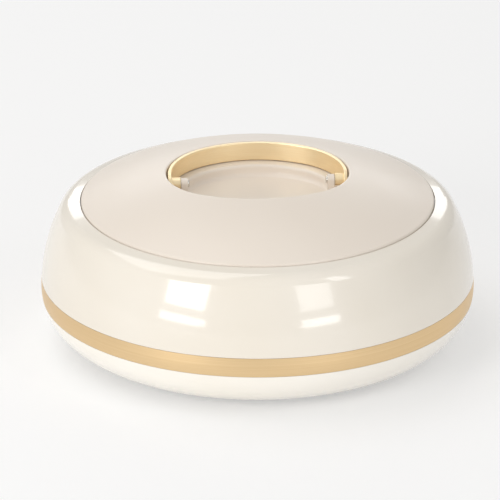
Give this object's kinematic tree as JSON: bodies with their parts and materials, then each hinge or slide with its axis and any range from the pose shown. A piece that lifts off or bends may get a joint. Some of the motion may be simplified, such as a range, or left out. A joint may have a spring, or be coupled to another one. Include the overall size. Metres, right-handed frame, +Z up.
{
  "type": "insulated casserole",
  "caption": "Round insulated casserole with a steel inner bowl, a domed lift-off lid and a strap bail that folds back into a finger pocket.",
  "frame": {"origin": "centre of the underside of the foot ring, on the surface it stands on", "axes": "+Z up along the axis of the bowl; X along the bail's pivot axis; -Y is the front, the bail folds back towards +Y"},
  "size_m": [0.286, 0.286, 0.118],
  "materials": {
    "cream_shell": "polished moulded plastic, warm cream",
    "cream_lid": "satin moulded plastic, warm cream",
    "gold_trim": "satin pale gold",
    "steel_liner": "brushed stainless steel",
    "insulation": "rigid insulating foam",
    "liner_plastic": "fine matt moulded plastic",
    "pin_steel": "turned steel"
  },
  "bodies": {
    "body": {"base_shell": "cream_shell", "shoulder_shell": "cream_shell", "trim_band": "gold_trim", "steel_bowl": "steel_liner", "body_foam": "insulation", "base_fill_plug": "liner_plastic"},
    "lid": {"lid_shell": "cream_lid", "lid_foam": "insulation", "lid_liner": "liner_plastic", "pivot_pin_left": "pin_steel", "pivot_pin_right": "pin_steel"},
    "bail": {"bail_strap": "gold_trim"}
  },
  "joints": [
    {"name": "lid_lift", "type": "slide", "parent": "body", "child": "lid", "axis": [0, 0, 1], "range_m": [0, 0.12]},
    {"name": "bail_swing", "type": "hinge", "parent": "lid", "child": "bail", "pos_m": [0, 0, 0.109], "axis": [1, 0, 0], "range_deg": [0, 86.8]}
  ]
}
